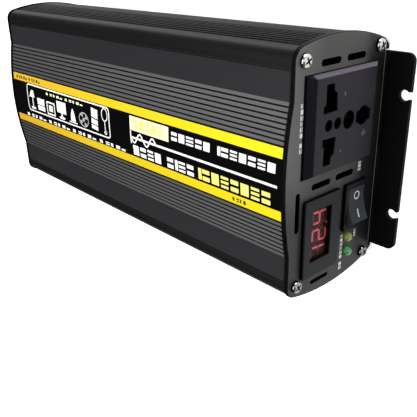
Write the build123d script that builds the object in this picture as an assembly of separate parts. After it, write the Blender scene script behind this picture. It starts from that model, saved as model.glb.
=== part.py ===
from build123d import *
import math
import os

# A mains power inverter for a vehicle battery. The case is one black aluminium extrusion with ribbed,
# bowed sides and a crowned, ribbed top. Each end is closed by a sheet panel whose lower edge bends
# outwards into a mounting foot with two keyhole notches. The front panel holds a multi-standard mains
# socket, a three-digit volt meter, a rocker switch and two indicator lamps. The rear panel holds a
# cooling fan and two stud terminals with screw-down insulated knobs. A circuit board with its
# transformers, capacitors and transistors slides in rails inside the case.
#
# Frame: millimetres, +Z up. The origin is the middle of the case's underside. The front panel faces
# -Y, and +X is to the right of someone who looks at the front panel.

os.makedirs("parts", exist_ok=True)

# ---------------------------------------------------------------- driving dimensions
CASE_LENGTH = 229.4  # the extrusion, between the two panels
PANEL = 1.8  # thickness of the sheet that each end panel is bent from
WALL = 2.2  # case wall
FOOT = 13.1  # how far a mounting foot reaches past its panel
FOOT_HALF = 44.4
FOOT_CORNER = 3.4
BEND = 1.2  # inner radius of the bend between a panel and its foot

UNDERSIDE_HALF = 46.6  # half width of the case's flat underside
SIDE_TOE = (49.4, 3.2)  # where the bowed side starts
SIDE_BELLY = (54.6, 33.5)  # widest point of the side
SHOULDER_Z = 59.4  # flat shoulder beside the crowned top
CROWN_HALF = 32.2  # half width of the crowned part of the top
CROWN_Z = 62.8  # top of the crown
CORNER_RADIUS = 5.5
TOE_RADIUS = 1.4
CORNER_LINE_X = 43.8  # a fine groove where the rounded corner meets the flat shoulder

RIB_PITCH = 2.1
RIB_GROOVE = 0.74  # width of the groove between two ribs
RIB_DEPTH = 0.95
RIBS = 8  # ribs on each side of the label, and on each bowed side
RIB_TOP_Z = 53.6  # the highest groove on a side

NOTCH_X = 27.0
NOTCH_RADIUS = 2.4
NOTCH_NECK = 3.3  # mouth of a notch, narrower than its round end
NOTCH_INSET = 2.9  # from the foot's edge to the centre of the round end

SOCKET = (20.9, 31.2)  # centre of the mains socket on the panel, x and z
METER = (-27.1, 40.4)
SWITCH = (-20.2, 17.6)
FAULT_LAMP = (-35.0, 20.4)
POWER_LAMP = (-42.2, 20.0)
LAMP_RADIUS = 2.4

FAN = (0.0, 31.0)
FAN_SIZE = 50.0
FAN_DEPTH = 15.0
FAN_HOLES = 20.0  # half of the fan's hole spacing

STUD_X = 39.5  # the two battery terminals
STUD_Z = 33.0
STUD_RADIUS = 3.0

BOARD_BOTTOM = 10.9
BOARD = 1.6

# ---------------------------------------------------------------- places that follow from them
Y_CASE = CASE_LENGTH / 2
Y_FACE = Y_CASE + PANEL  # the outer face of a panel, at -Y_FACE in front and +Y_FACE behind
Y_FOOT = Y_FACE + FOOT
BOARD_TOP = BOARD_BOTTOM + BOARD
UPPER_SCREW = (47.0, 54.6)  # end screws, in the case's screw channels
LOWER_SCREW = (47.3, 7.2)
CHANNEL_RADIUS = 3.5
CHANNEL_BORE = 1.5
END_SCREWS = [(s * x, z) for x, z in (UPPER_SCREW, LOWER_SCREW) for s in (-1, 1)]


def circle_through(half_chord, rise):
    """Radius of the arc that rises this much over this half chord."""
    return (half_chord**2 + rise**2) / (2 * rise)


SIDE_RADIUS = circle_through(SIDE_BELLY[1] - SIDE_TOE[1], SIDE_BELLY[0] - SIDE_TOE[0])
SIDE_CENTRE_X = SIDE_BELLY[0] - SIDE_RADIUS
CROWN_RADIUS = circle_through(CROWN_HALF, CROWN_Z - SHOULDER_Z)
CROWN_CENTRE_Z = CROWN_Z - CROWN_RADIUS


def side_x(z):
    """Half width of the bowed side at a height."""
    return SIDE_CENTRE_X + math.sqrt(SIDE_RADIUS**2 - (z - SIDE_BELLY[1]) ** 2)


# ---------------------------------------------------------------- helpers
def front_plane(y):
    """A drawing plane in x and z, seen from the front."""
    return Plane(origin=(0, y, 0), x_dir=(1, 0, 0), z_dir=(0, -1, 0))


def along_y(sketch, y_low, y_high):
    """A sketch drawn in x and z, extruded from y_low to y_high."""
    return extrude(front_plane(y_high) * sketch, y_high - y_low)


def along_z(sketch, z_low, z_high):
    return Pos(0, 0, z_low) * extrude(sketch, z_high - z_low)


def block(x_low, x_high, y_low, y_high, z_low, z_high):
    size = (x_high - x_low, y_high - y_low, z_high - z_low)
    return Pos((x_low + x_high) / 2, (y_low + y_high) / 2, (z_low + z_high) / 2) * Box(*size)


def disc(x, z, radius):
    return Pos(x, z) * Circle(radius)


def rod(x, z, radius, y_low, y_high):
    return along_y(disc(x, z, radius), y_low, y_high)


def upright(x, y, radius, z_low, z_high):
    return Pos(x, y, (z_low + z_high) / 2) * Cylinder(radius, z_high - z_low)


def rear(shape):
    """Turns a shape made for the front panel round to the rear."""
    return Rot(0, 0, 180) * shape


written = []


def save(name, *solids):
    """Writes one node. Several solids stay separate solids of that node."""
    shape = solids[0] if len(solids) == 1 else Compound(children=list(solids))
    export_step(shape, f"parts/{name}.step")
    written.append(name)


# ---------------------------------------------------------------- case
def outline(inset):
    """The closed profile of the case in x and z, moved inwards by the inset, with rounded corners."""
    shoulder = side_x(SHOULDER_Z)
    edges = [Line((-UNDERSIDE_HALF, 0), (UNDERSIDE_HALF, 0))]
    for s in (-1, 1):
        edges.append(Line((s * UNDERSIDE_HALF, 0), (s * SIDE_TOE[0], SIDE_TOE[1])))
        edges.append(ThreePointArc((s * SIDE_TOE[0], SIDE_TOE[1]), (s * SIDE_BELLY[0], SIDE_BELLY[1]),
                                   (s * shoulder, SHOULDER_Z)))
        edges.append(Line((s * shoulder, SHOULDER_Z), (s * CROWN_HALF, SHOULDER_Z)))
    edges.append(ThreePointArc((-CROWN_HALF, SHOULDER_Z), (0, CROWN_Z), (CROWN_HALF, SHOULDER_Z)))
    shape = make_face(edges)
    if inset:
        shape = offset(shape, -inset, kind=Kind.INTERSECTION)
    corners = [v for v in shape.vertices() if v.Y > SHOULDER_Z - 6 and abs(v.X) > CROWN_HALF + 6]
    shape = fillet(corners, CORNER_RADIUS - inset)
    toes = [v for v in shape.vertices() if v.Y < SIDE_TOE[1] + inset + 0.1]
    return fillet(toes, max(TOE_RADIUS - inset, 0.4))


def grooves():
    """The grooves between ribs, on the crown beside the label and on the upper half of each side."""
    cuts = Sketch()
    cutter = Rectangle(RIB_GROOVE, 2 * RIB_DEPTH)
    first = CROWN_HALF - RIB_PITCH + RIB_GROOVE / 2
    for i in range(RIBS):
        x = first - i * RIB_PITCH
        lean = math.asin(x / CROWN_RADIUS)
        z = CROWN_CENTRE_Z + CROWN_RADIUS * math.cos(lean)
        height = RIB_TOP_Z - i * RIB_PITCH
        slope = math.degrees(math.asin((height - SIDE_BELLY[1]) / SIDE_RADIUS))
        for s in (-1, 1):
            cuts += Pos(s * x, z) * Rot(0, 0, -s * math.degrees(lean)) * cutter
            cuts += Pos(s * side_x(height), height) * Rot(0, 0, 90 + s * slope) * cutter
    for s in (-1, 1):
        cuts += Pos(s * CORNER_LINE_X, SHOULDER_Z) * Rectangle(0.4, 0.6)
    return cuts


LABEL_HALF = 15.35
POCKET_HALF = 15.6  # the label lies in a shallow pocket that ends in the innermost grooves
LABEL_POCKET = 0.34
LABEL_THICKNESS = 0.3
RAIL_INNER = 47.5
RAIL = 1.2
OUTLINE = outline(0)


def crown_band(half_width, radius_low, radius_high):
    """A strip of the crown between two radii, as a sketch."""
    ring = Circle(radius_high) - Circle(radius_low)
    return (Pos(0, CROWN_CENTRE_Z) * ring) & (Pos(0, CROWN_Z) * Rectangle(2 * half_width, 12))


def case_shell():
    walls = OUTLINE - outline(WALL)
    rails = Sketch()
    for z in (BOARD_BOTTOM - 0.1 - RAIL / 2, BOARD_TOP + 0.1 + RAIL / 2):
        rails += Pos(0, z) * Rectangle(200, RAIL) - Pos(0, z) * Rectangle(2 * RAIL_INNER, RAIL * 2)
    channels, bores = Sketch(), Sketch()
    for x, z in END_SCREWS:
        channels += disc(x, z, CHANNEL_RADIUS)
        bores += disc(x, z, CHANNEL_BORE)
    profile = walls + (OUTLINE & (rails + channels))
    profile -= bores + grooves()
    profile -= crown_band(POCKET_HALF, CROWN_RADIUS - LABEL_POCKET, CROWN_RADIUS + 1)
    return along_y(profile, -Y_CASE, Y_CASE)


def top_label():
    floor = CROWN_RADIUS - LABEL_POCKET + 0.02
    return along_y(crown_band(LABEL_HALF, floor, floor + LABEL_THICKNESS), -Y_CASE, Y_CASE)


save("case_shell", case_shell())
save("top_label", top_label())

# ---------------------------------------------------------------- end panels and their screws
PANEL_OVERHANG = 0.45  # a panel stands this far proud of the case all round
PANEL_ROUND = 0.7  # rounding of its outer edge
SCREW_HEAD = 2.75
SCREW_SHANK = 1.45
HEAD_HEIGHT = 1.8
SCREW_LENGTH = 12.0
VENT_WIDTH = 2.7
VENT_LENGTH = 12.2
UPRIGHT_VENTS = [(44.8, 38.8), (44.8, 22.7), (-4.4, 41.0), (-4.2, 25.3)]  # centres on the front panel
FLAT_VENT = (-13.2, 55.5)
FLAT_VENT_LENGTH = 17.6
EDGE_VENT = (-49.2, 38.8)
EDGE_VENT_WIDTH = 2.0
REAR_VENT_LENGTH = 9.0


def bent_sheet():
    """The strip that carries the bend and the foot, with two keyhole notches."""
    centre_y = -Y_FACE - BEND
    low = BEND + PANEL
    turn = math.radians(45)
    inner = (centre_y + BEND * math.cos(turn), low - BEND * math.sin(turn))
    outer = (centre_y + low * math.cos(turn), low - low * math.sin(turn))
    profile = make_face([
        Line((-Y_CASE, low), (-Y_FACE, low)),
        ThreePointArc((-Y_FACE, low), inner, (centre_y, PANEL)),
        Polyline((centre_y, PANEL), (-Y_FOOT, PANEL), (-Y_FOOT, 0), (centre_y, 0)),
        ThreePointArc((centre_y, 0), outer, (-Y_CASE, low)),
    ])
    strip = extrude(Plane.YZ * profile, FOOT_HALF, both=True)
    tips = [e for e in strip.edges().filter_by(Axis.Z) if e.center().Y < -Y_FOOT + 0.1]
    strip = fillet(tips, FOOT_CORNER)
    for x in (-NOTCH_X, NOTCH_X):
        notch = Pos(x, NOTCH_INSET - Y_FOOT) * Circle(NOTCH_RADIUS)
        notch += Pos(x, NOTCH_INSET / 2 - Y_FOOT) * Rectangle(NOTCH_NECK, NOTCH_INSET + 0.02)
        strip -= along_z(notch, -1, PANEL + 1)
    return strip


def end_panel():
    """A panel with its foot. Its outer edge is rounded."""
    blank = along_y(offset(OUTLINE, PANEL_OVERHANG), -Y_FACE, -Y_CASE)
    rim = blank.faces().filter_by(Axis.Y).sort_by(Axis.Y)[0]
    blank = fillet([e for e in rim.edges() if e.center().Z > 0.5], PANEL_ROUND)
    blank -= block(-60, 60, -Y_FOOT, Y_FOOT, -5, 0)
    blank -= block(-FOOT_HALF - 0.6, FOOT_HALF + 0.6, -Y_FOOT, Y_FOOT, -5, BEND + PANEL)
    return blank + bent_sheet()


def slot(place, length, width=VENT_WIDTH, turn=0):
    return Pos(*place) * Rot(0, 0, turn) * SlotOverall(length, width)


def end_screw_holes():
    holes = Sketch()
    for x, z in END_SCREWS:
        holes += disc(x, z, SCREW_SHANK + 0.25)
    return holes


def front_panel():
    cuts = end_screw_holes()
    for place in UPRIGHT_VENTS:
        cuts += slot(place, VENT_LENGTH, turn=90)
    cuts += slot(FLAT_VENT, FLAT_VENT_LENGTH)
    cuts += slot(EDGE_VENT, VENT_LENGTH, EDGE_VENT_WIDTH, turn=90)
    cuts += Pos(*SOCKET) * Rectangle(*SOCKET_CUTOUT)
    cuts += Pos(*METER) * Rectangle(*METER_CUTOUT)
    cuts += Pos(*SWITCH) * Rectangle(*SWITCH_CUTOUT)
    for lamp_place in (FAULT_LAMP, POWER_LAMP):
        cuts += disc(*lamp_place, LAMP_RADIUS + 0.1)
    return end_panel() - along_y(cuts, -Y_FACE - 1, -Y_CASE + 1)


def rear_panel():
    cuts = end_screw_holes() + disc(*FAN, FAN_MOUTH)
    for x, z in fan_corners():
        cuts += disc(x, z, FAN_SCREW + 0.15)
    for x in (-STUD_X, STUD_X):
        cuts += disc(x, STUD_Z, STUD_NECK + 0.1)
        cuts += slot((x, STUD_Z + 16.6), REAR_VENT_LENGTH)
    cuts += disc(*EARTH, EARTH_RADIUS + 0.1)
    cuts += slot((-EARTH[0], EARTH[1]), REAR_VENT_LENGTH)
    return rear(end_panel()) - along_y(cuts, Y_CASE - 1, Y_FACE + 1)


def cross_recess(x, z, y, radius, depth):
    """The cross that a driver fits, cut into a head whose top is at y, on the -Y side."""
    cross = Rectangle(2 * radius, 0.85) + Rectangle(0.85, 2 * radius)
    return along_y(Pos(x, z) * Rot(0, 0, 30) * cross, y - 1, y + depth)


def pan_screw(x, z, seat_y, head, head_height, shank, length):
    """A pan-head screw that enters along +Y, its head seated at seat_y."""
    button = rod(x, z, head, seat_y - head_height, seat_y)
    front = button.faces().sort_by(Axis.Y)[0]
    button = fillet(front.edges(), head_height * 0.7)
    body = button + rod(x, z, shank, seat_y - 0.2, seat_y + length)
    return body - cross_recess(x, z, seat_y - head_height, head * 0.62, head_height * 0.55)


def end_screws():
    sizes = (SCREW_HEAD, HEAD_HEIGHT, SCREW_SHANK, SCREW_LENGTH)
    return [pan_screw(x, z, -Y_FACE, *sizes) for x, z in END_SCREWS]


# ---------------------------------------------------------------- mains socket
SOCKET_BASE = (41.2, 46.6)  # foot of the raised bezel, on the panel
SOCKET_FACE = (38.0, 38.0)
SOCKET_RAISE = 3.0
SOCKET_CUTOUT = (36.4, 40.4)
SOCKET_BODY = (36.0, 40.0)
SOCKET_DEPTH = 22.0  # of the body behind the panel's outer face
FACE_PLATE = 3.2  # thickness of the moulding round the apertures
PIN_ROW = 11.0  # height of the live pins above the socket's centre
EARTH_ROW = -11.6
EARTH_CONTACT_ROW = -6.5
# The live aperture takes flat, round and rectangular pins; the neutral one is its mirror image.
LIVE_APERTURE = [
    (5.0, 14.8), (8.2, 14.8), (8.2, 13.5), (16.3, 13.5), (16.3, 8.8), (13.4, 8.3), (12.3, 6.6), (5.2, 6.0),
]


def in_socket(sketch):
    return Pos(*SOCKET) * sketch


def apertures():
    live = make_face(Polyline(*LIVE_APERTURE, close=True))
    cuts = live + mirror(live, about=Plane.YZ)
    for z in (PIN_ROW, PIN_ROW - 5.6):
        cuts += Pos(0, z) * Circle(2.4)
    cuts += Pos(0, EARTH_ROW + 9.7) * Circle(3.8)
    cuts += Pos(0, EARTH_ROW) * Circle(4.1) + Pos(0, EARTH_ROW) * Rectangle(5.0, 9.9)
    return cuts


def socket_face():
    crest_y = -Y_FACE - SOCKET_RAISE
    foot = front_plane(-Y_FACE) * in_socket(Rectangle(*SOCKET_BASE))
    crest = front_plane(crest_y) * in_socket(Rectangle(*SOCKET_FACE))
    bezel = loft([foot, crest])
    bezel = fillet(bezel.faces().sort_by(Axis.Y)[0].edges(), 0.5)
    back_y = crest_y + FACE_PLATE
    bezel -= along_y(in_socket(apertures()), crest_y - 1, back_y + 1)
    return bezel, back_y


def pockets():
    """The three chambers behind the apertures, as a sketch round the socket's centre."""
    chamber = Pos(10.9, 10.4) * Rectangle(12.4, 10.4)
    chambers = chamber + mirror(chamber, about=Plane.YZ)
    return chambers + Pos(0, PIN_ROW - 2.8) * Rectangle(5.4, 11.6) + Pos(0, -7.4) * Rectangle(11.0, 18.8)


def socket_body(front_y):
    back_y = -Y_FACE + SOCKET_DEPTH
    body = along_y(in_socket(RectangleRounded(*SOCKET_BODY, 1.0)), front_y, back_y)
    body -= along_y(in_socket(pockets()), front_y - 1, back_y - 2.0)
    for x, z in CONTACT_TAILS.values():
        body -= along_y(in_socket(Pos(x, z) * Rectangle(*TAIL_SLOT)), back_y - 3, back_y + 1)
    return body


# Where each contact's solder tail leaves the back of the socket, from the socket's centre.
CONTACT_TAILS = {"neutral": (-10.9, 14.9), "live": (10.9, 14.9), "earth": (0.0, -0.4)}
TAIL = (4.0, 0.8)
TAIL_SLOT = (4.3, 1.1)
LEAF = 0.6
TAIL_LENGTH = 7.0


def contact(x_mid, z_mid, width, gap, tail, front_y):
    """A folded brass contact: two leaves that grip a pin, a bridge behind them and a solder tail."""
    back_y = -Y_FACE + SOCKET_DEPTH - 2.2
    upper = Pos(x_mid, z_mid + gap / 2 + LEAF / 2) * Rectangle(width, LEAF)
    lower = Pos(x_mid, z_mid - gap / 2 - LEAF / 2) * Rectangle(width, LEAF)
    clip = along_y(in_socket(upper + lower), front_y + 2.0, back_y)
    bridge = Pos(x_mid, z_mid) * Rectangle(width, gap + 2 * LEAF)
    clip += along_y(in_socket(bridge), back_y - LEAF, back_y)
    clip += along_y(in_socket(Pos(*tail) * Rectangle(*TAIL)), back_y - LEAF, back_y + 2.2 + TAIL_LENGTH)
    return clip


def socket_parts():
    face, body_front = socket_face()
    save("socket_face", face)
    save("socket_body", socket_body(body_front))
    save("socket_contact_live", contact(10.9, 11.1, 10.0, 6.4, CONTACT_TAILS["live"], body_front))
    save("socket_contact_neutral", contact(-10.9, 11.1, 10.0, 6.4, CONTACT_TAILS["neutral"], body_front))
    save("socket_contact_earth", contact(0.0, EARTH_CONTACT_ROW, 7.0, 13.0, CONTACT_TAILS["earth"], body_front))


# ---------------------------------------------------------------- volt meter
METER_BEZEL = (36.0, 23.8)
METER_CUTOUT = (32.8, 20.8)
METER_BODY = (32.4, 20.4)
METER_RAISE = 1.8
METER_DEPTH = 14.0  # of its body behind the panel's outer face
METER_WALL = 0.8
WINDOW = (23.1, 12.7)  # the clear opening of the bezel
WINDOW_CENTRE = (METER[0] + 0.95, METER[1] + 1.05)
WINDOW_CHAMFER = 0.3
LENS = (27.6, 16.2, 0.8)
LENS_Y = -Y_FACE - 0.2  # front of the lens
MODULE = (26.4, 15.0, 7.0)
MODULE_Y = LENS_Y + LENS[2] + 0.25
DIGIT_HEIGHT = 9.6
DIGIT_WIDTH = 5.0
DIGIT_PITCH = 8.2
MIDDLE_DIGIT = (WINDOW_CENTRE[0] - 1.65, WINDOW_CENTRE[1] - 1.75)
POINT_GAP = 1.9  # from a digit's edge to its decimal point
SEGMENT = 0.9
SEGMENT_GAP = 0.14
LEAN = 0.07  # digits lean to the right by this slope
# Segments a to g that are lit in each digit, and whether its decimal point is lit.
DIGITS = [("bc", False), ("abged", True), ("fgbc", False)]


def meter_bezel():
    front = -Y_FACE - METER_RAISE
    outline = Pos(*METER) * RectangleRounded(*METER_BEZEL, 1.0)
    bezel = along_y(outline, front, -Y_FACE)
    bezel = fillet(bezel.faces().sort_by(Axis.Y)[0].edges(), 0.5)
    bezel += along_y(Pos(*METER) * Rectangle(*METER_BODY), -Y_FACE, -Y_FACE + METER_DEPTH)
    mouth = Pos(*WINDOW_CENTRE) * Rectangle(*WINDOW)
    bezel -= along_y(mouth, front - 1, LENS_Y + 0.1)
    lens_seat = Pos(*WINDOW_CENTRE) * Rectangle(LENS[0] + 0.2, LENS[1] + 0.2)
    bezel -= along_y(lens_seat, LENS_Y - 0.02, -Y_FACE + 3)
    hollow = Pos(*METER) * Rectangle(METER_BODY[0] - 2 * METER_WALL, METER_BODY[1] - 2 * METER_WALL)
    bezel -= along_y(hollow, -Y_FACE + 2, -Y_FACE + METER_DEPTH + 1)
    rim = [e for e in bezel.edges() if abs(e.center().Y - front) < 0.05]
    inner = [e for e in rim if abs(e.center().X - WINDOW_CENTRE[0]) < WINDOW[0] / 2 + 0.1
             and abs(e.center().Z - WINDOW_CENTRE[1]) < WINDOW[1] / 2 + 0.1]
    return chamfer(inner, WINDOW_CHAMFER)


def segment_places():
    """Each segment's centre from its digit's middle, and whether it lies flat."""
    x, z = DIGIT_WIDTH / 2, DIGIT_HEIGHT / 2
    return {"a": (0, z, True), "b": (x, z / 2, False), "c": (x, -z / 2, False), "d": (0, -z, True),
            "e": (-x, -z / 2, False), "f": (-x, z / 2, False), "g": (0, 0, True)}


def lit_segments():
    shapes = []
    places = segment_places()
    for number, (lit, point) in enumerate(DIGITS):
        middle = (number - 1) * DIGIT_PITCH
        for letter in lit:
            x, z, flat = places[letter]
            z *= 1 - SEGMENT / DIGIT_HEIGHT
            length = DIGIT_WIDTH if flat else DIGIT_HEIGHT / 2 - SEGMENT / 2
            bar = Rectangle(length - SEGMENT - 2 * SEGMENT_GAP, SEGMENT)
            half = (length - SEGMENT) / 2 - SEGMENT_GAP
            tip = Polyline((half, SEGMENT / 2), (half + SEGMENT / 2, 0), (half, -SEGMENT / 2), close=True)
            tip = make_face(tip)
            bar = bar + tip + mirror(tip, about=Plane.YZ)
            turn = 0 if flat else 90 - math.degrees(LEAN)
            shapes.append(Pos(middle + x + LEAN * z, z) * Rot(0, 0, turn) * bar)
        if point:
            shapes.append(Pos(middle + DIGIT_WIDTH / 2 + POINT_GAP, -DIGIT_HEIGHT / 2) * Circle(SEGMENT / 2))
    return [along_y(Pos(*MIDDLE_DIGIT) * s, MODULE_Y - 0.2, MODULE_Y) for s in shapes]


def meter_parts():
    save("meter_bezel", meter_bezel())
    save("meter_lens", along_y(Pos(*WINDOW_CENTRE) * Rectangle(*LENS[:2]), LENS_Y, LENS_Y + LENS[2]))
    save("meter_digits", along_y(Pos(*WINDOW_CENTRE) * Rectangle(*MODULE[:2]), MODULE_Y, MODULE_Y + MODULE[2]))
    save("meter_lit_segments", *lit_segments())
    board_y = MODULE_Y + MODULE[2]
    save("meter_board", along_y(Pos(*METER) * Rectangle(30.4, 18.4), board_y, board_y + 1.2))


# ---------------------------------------------------------------- rocker switch
SWITCH_BEZEL = (22.1, 15.3)
SWITCH_CUTOUT = (20.6, 13.8)
SWITCH_BODY = (20.2, 13.4)
SWITCH_CAVITY = (18.4, 11.8)
SWITCH_RAISE = 1.8
SWITCH_BACK = -Y_FACE + 17.0
PIVOT_Y = -Y_FACE + 1.0
ROCKER_RADIUS = 9.0
ROCKER_WIDTH = 11.2
ROCKER_TILT = 11.0  # from the middle to either side
TRUNNION = 1.0
TRUNNION_LENGTH = 0.7


def switch_frame():
    front = -Y_FACE - SWITCH_RAISE
    frame = along_y(Pos(*SWITCH) * RectangleRounded(*SWITCH_BEZEL, 1.0), front, -Y_FACE)
    frame = fillet(frame.faces().sort_by(Axis.Y)[0].edges(), 0.45)
    frame += along_y(Pos(*SWITCH) * Rectangle(*SWITCH_BODY), -Y_FACE, SWITCH_BACK)
    frame -= along_y(Pos(*SWITCH) * Rectangle(*SWITCH_CAVITY), front - 1, SWITCH_BACK - 4)
    bearing = Cylinder(TRUNNION + 0.05, ROCKER_WIDTH + 2 * TRUNNION_LENGTH + 0.1)
    return frame - Pos(SWITCH[0], PIVOT_Y, SWITCH[1]) * bearing


def switch_rocker():
    """The rocker, turned to its off position: the end towards +X is pressed in."""
    face = ThreePointArc((-9.6, -5.2), (0, -3.3), (9.6, -5.2))
    sides = Polyline((9.6, -5.2), (9.6, 3.0), (3.0, 5.5), (-3.0, 5.5), (-9.6, 3.0), (-9.6, -5.2))
    profile = make_face([face, sides]) & Circle(ROCKER_RADIUS)
    body = extrude(profile, ROCKER_WIDTH / 2, both=True)
    ends = [e for e in body.edges() if abs(abs(e.center().Z) - ROCKER_WIDTH / 2) < 0.01]
    body = fillet([e for e in ends if e.center().Y < -3.0], 0.4)
    body += Cylinder(TRUNNION, ROCKER_WIDTH + 2 * TRUNNION_LENGTH)
    return Pos(SWITCH[0], PIVOT_Y, SWITCH[1]) * Rot(0, 0, ROCKER_TILT) * body


def switch_parts():
    save("switch_frame", switch_frame())
    save("switch_rocker", switch_rocker())
    tabs = [along_y(Pos(SWITCH[0] + dx, SWITCH[1]) * Rectangle(0.8, 4.8), SWITCH_BACK, SWITCH_BACK + 7.5)
            for dx in (-5.5, 2.5)]
    save("switch_terminals", *tabs)


# ---------------------------------------------------------------- indicator lamps
LAMP_BOARD_Y = -Y_CASE + 5.0


def lamp(x, z):
    """A domed indicator whose flange stops behind the panel."""
    tip = -Y_FACE - 0.4
    body = rod(x, z, LAMP_RADIUS, tip, -Y_CASE) + rod(x, z, LAMP_RADIUS + 0.5, -Y_CASE, LAMP_BOARD_Y)
    dome = Pos(x, tip, z) * Sphere(LAMP_RADIUS)
    return body + (dome & block(x - 9, x + 9, tip - 9, tip, z - 9, z + 9))


save("front_panel", front_panel())
save("front_panel_screws", *end_screws())
socket_parts()
meter_parts()
switch_parts()
save("fault_lamp", lamp(*FAULT_LAMP))
save("power_lamp", lamp(*POWER_LAMP))
save("lamp_board", block(-45.4, -31.6, LAMP_BOARD_Y, LAMP_BOARD_Y + 1.2, 16.0, 25.0))

# ---------------------------------------------------------------- fan
FAN_SCREW = 2.0
FAN_HEAD = 3.6
FAN_SCREW_LENGTH = 17.0
FAN_MOUTH = 23.4  # radius of the round opening in the panel
FAN_INNER = Y_CASE - FAN_DEPTH
HUB = 10.4
BLADE_TIP = 22.8
BLADES = 7
SHAFT = 1.0
GUARD = 1.2


def fan_corners():
    return [(FAN[0] + dx * FAN_HOLES, FAN[1] + dz * FAN_HOLES) for dx in (-1, 1) for dz in (-1, 1)]


def fan_frame():
    square = Pos(*FAN) * RectangleRounded(FAN_SIZE, FAN_SIZE, 3.0) - disc(*FAN, 23.6)
    frame = along_y(square, FAN_INNER, Y_CASE)
    spokes = Sketch()
    for turn in (0, 90):
        spokes += Pos(*FAN) * Rot(0, 0, turn + 20) * Rectangle(48.0, 2.6)
    spokes = spokes & disc(*FAN, 24.0)
    frame += along_y(spokes + disc(*FAN, 9.0), FAN_INNER, FAN_INNER + 2.0)
    frame += rod(*FAN, 3.0, FAN_INNER, FAN_INNER + 11.0)
    frame -= rod(*FAN, SHAFT + 0.05, FAN_INNER - 1, FAN_INNER + 12.0)
    for x, z in fan_corners():
        frame -= rod(x, z, FAN_SCREW + 0.05, FAN_INNER - 1, Y_CASE + 1)
    return frame


def fan_rotor():
    low, high = FAN_INNER + 2.8, Y_CASE - 0.8
    rotor = rod(*FAN, HUB, low, high) - rod(*FAN, HUB - 1.2, low - 1, high - 1.4)
    rotor = fillet(rotor.edges().filter_by(GeomType.CIRCLE).sort_by(Axis.Y)[-1], 0.8)
    rotor += rod(*FAN, SHAFT, FAN_INNER + 0.6, high - 1.0)
    middle = (low + high) / 2
    annulus = along_y(disc(*FAN, BLADE_TIP) - disc(*FAN, HUB - 0.6), low + 0.4, high - 0.4)
    reach = BLADE_TIP - HUB + 4
    for i in range(BLADES):
        vane = Pos(HUB - 1 + reach / 2, 0, 0) * Rot(42, 0, 0) * Box(reach, 13.5, 1.1)
        vane = Pos(FAN[0], middle, FAN[1]) * Rot(0, i * 360 / BLADES, 0) * vane
        rotor += vane & annulus
    return rotor


def fan_stator():
    coil = rod(*FAN, 8.2, FAN_INNER + 3.6, FAN_INNER + 9.6)
    return coil - rod(*FAN, 3.02, FAN_INNER + 3, FAN_INNER + 10)


def fan_guard():
    wires = Sketch()
    for outer in (6.4, 12.4, 18.4, 24.4):
        wires += Circle(outer) - Circle(outer - 1.3)
    for turn in (45, 135):
        wires += Rot(0, 0, turn) * Rectangle(56.0, 2.0)
    wires += Circle(3.2)
    wires = Pos(*FAN) * wires
    for x, z in fan_corners():
        wires += disc(x, z, 4.2)
    for x, z in fan_corners():
        wires -= disc(x, z, FAN_SCREW + 0.15)
    return along_y(wires, Y_FACE, Y_FACE + GUARD)


def fan_screw(x, z):
    return rear(pan_screw(-x, z, -Y_FACE - GUARD, FAN_HEAD, HEAD_HEIGHT, FAN_SCREW, FAN_SCREW_LENGTH))


# ---------------------------------------------------------------- battery terminals
STUD_NECK = 5.6
STUD_FLANGE = 8.4
FLANGE_DEPTH = 3.6
LUG_WASHER = 1.0
KNOB_RADIUS = 7.4
KNOB_LENGTH = 13.0
KNOB_Y = Y_FACE + FLANGE_DEPTH + LUG_WASHER
FLUTES = 14
EARTH = (36.5, 13.0)
EARTH_RADIUS = 2.0


def terminal_base(x):
    """The insulator that carries a stud through the panel."""
    flange = rod(x, STUD_Z, STUD_FLANGE, Y_FACE, Y_FACE + FLANGE_DEPTH)
    flange = fillet(flange.faces().sort_by(Axis.Y)[-1].edges(), 0.8)
    base = flange + rod(x, STUD_Z, STUD_NECK, Y_CASE - 1.5, Y_FACE)
    return base - rod(x, STUD_Z, STUD_RADIUS + 0.02, Y_CASE - 3, Y_FACE + 9)


def terminal_stud(x):
    """A brass stud with a hexagon head inside the case and a bare outer end."""
    stud = rod(x, STUD_Z, STUD_RADIUS, Y_CASE - 10.5, KNOB_Y + KNOB_LENGTH - 3.0)
    stud = chamfer(stud.edges().filter_by(GeomType.CIRCLE).sort_by(Axis.Y)[-1], 0.6)
    head = along_y(Pos(x, STUD_Z) * RegularPolygon(5.6, 6), Y_CASE - 5.5, Y_CASE - 1.5)
    return stud + head


def terminal_washer(x):
    ring = disc(x, STUD_Z, 6.3) - disc(x, STUD_Z, STUD_RADIUS + 0.1)
    return along_y(ring, Y_FACE + FLANGE_DEPTH + 0.02, KNOB_Y - 0.02)


def terminal_knob(x):
    """A fluted insulated nut. Its blind bore turns on the stud."""
    knob = rod(x, STUD_Z, KNOB_RADIUS, KNOB_Y, KNOB_Y + KNOB_LENGTH)
    knob = fillet(knob.faces().sort_by(Axis.Y)[-1].edges(), 1.4)
    for i in range(FLUTES):
        turn = math.radians(i * 360 / FLUTES)
        flute_x = x + (KNOB_RADIUS + 0.45) * math.cos(turn)
        flute_z = STUD_Z + (KNOB_RADIUS + 0.45) * math.sin(turn)
        knob -= rod(flute_x, flute_z, 1.0, KNOB_Y + 2.6, KNOB_Y + KNOB_LENGTH + 1)
    return knob - rod(x, STUD_Z, STUD_RADIUS + 0.06, KNOB_Y - 1, KNOB_Y + KNOB_LENGTH - 2.0)


def earth_stud():
    stud = rod(*EARTH, EARTH_RADIUS, Y_CASE - 2.4, Y_FACE + 10)
    return stud + rod(*EARTH, 3.8, Y_CASE - 2.4, Y_CASE)


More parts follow.
